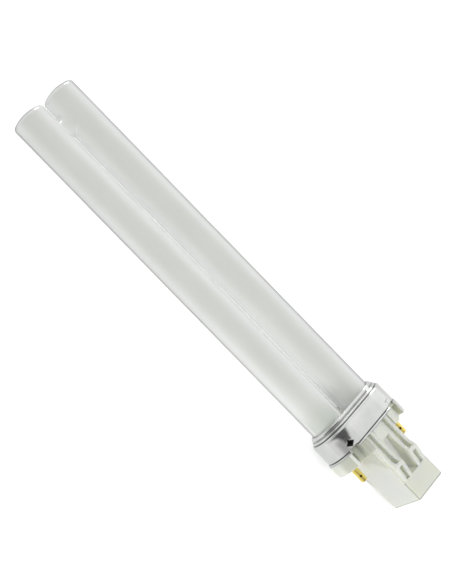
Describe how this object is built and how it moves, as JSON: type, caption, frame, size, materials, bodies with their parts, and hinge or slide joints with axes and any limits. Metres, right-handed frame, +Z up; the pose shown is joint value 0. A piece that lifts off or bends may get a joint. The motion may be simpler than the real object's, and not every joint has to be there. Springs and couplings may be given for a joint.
{
  "type": "compact fluorescent lamp bulb",
  "caption": "U-shaped compact fluorescent lamp: joined white glass legs in a bright metal collar, on a moulded plug-in base with brass contact pins and snap ramps",
  "frame": {"origin": "the middle of the lamp's footprint, on the surface that it lies on", "axes": "+X runs along the lamp from the glass tips to the contact pins, +Y through the pins from left to right seen from the tips with the front face up, +Z up out of the broad front face"},
  "size_m": [0.178, 0.0324, 0.0212],
  "materials": {
    "coated_glass": "opaque white phosphor coating inside clear gloss glass",
    "bright_aluminium": "polished pressed sheet",
    "cement": "basing cement, matt",
    "ivory_plastic": "off-white moulded plastic with a soft sheen",
    "pin_brass": "bright drawn brass",
    "tinned_wire": "tinned wire",
    "starter_glass": "clear glass",
    "capacitor_coat": "dipped coating"
  },
  "bodies": {
    "root": {"discharge_tube": "coated_glass", "metal_collar": "bright_aluminium", "basing_cement": "cement", "base_housing": "ivory_plastic", "contact_pin_left": "pin_brass", "contact_pin_right": "pin_brass", "pin_lead_left": "tinned_wire", "pin_lead_right": "tinned_wire", "starter_lead_left": "tinned_wire", "starter_lead_right": "tinned_wire", "glow_starter": "starter_glass", "starter_capacitor": "capacitor_coat"}
  },
  "joints": []
}
